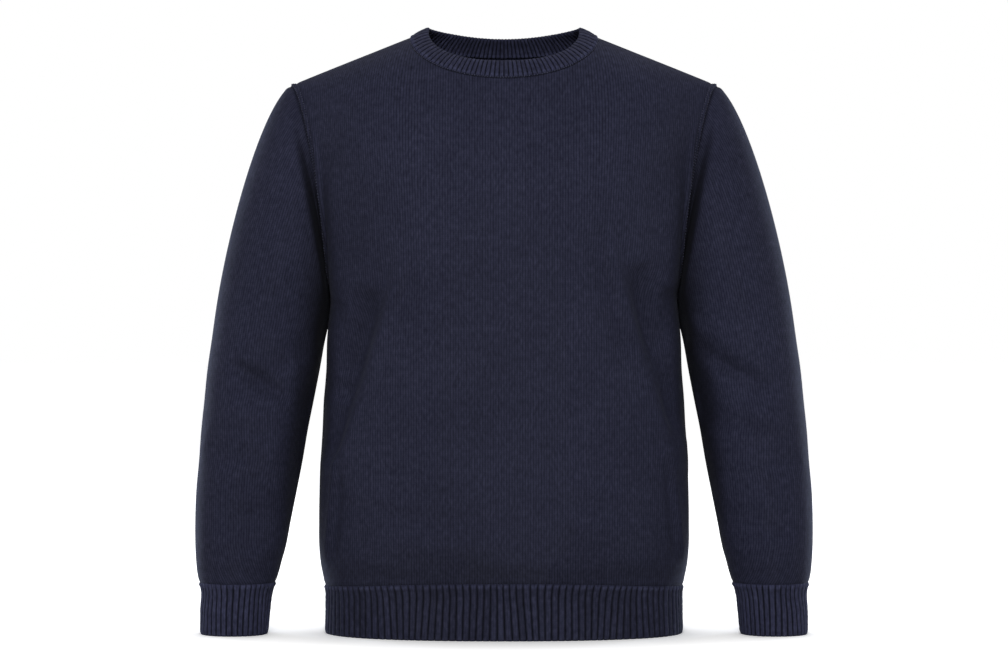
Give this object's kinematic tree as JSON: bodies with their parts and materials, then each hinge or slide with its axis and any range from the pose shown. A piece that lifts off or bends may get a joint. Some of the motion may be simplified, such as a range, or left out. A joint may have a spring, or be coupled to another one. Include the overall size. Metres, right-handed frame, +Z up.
{
  "type": "crewneck sweater",
  "caption": "Long-sleeved crewneck sweater in fine knit, filled out as worn, with ribbed neckband, cuffs and hem; hollow and open at the neck, cuffs and hem.",
  "frame": {"origin": "in the middle of the neck opening, level with the neck ends of the shoulder seams, where the wearer's shoulders carry the sweater", "axes": "+Z up along the body, -Y out of the front, +X to the wearer's left"},
  "size_m": [0.6946, 0.2481, 0.6847],
  "materials": {
    "jersey": "dark navy plain-knit wool, matt",
    "rib": "dark navy ribbed wool, matt"
  },
  "bodies": {
    "root": {"front": "jersey", "back": "jersey", "right_sleeve": "jersey", "left_sleeve": "jersey", "hem_rib_front": "rib", "hem_rib_back": "rib", "right_cuff": "rib", "left_cuff": "rib", "neckband": "rib"}
  },
  "joints": []
}
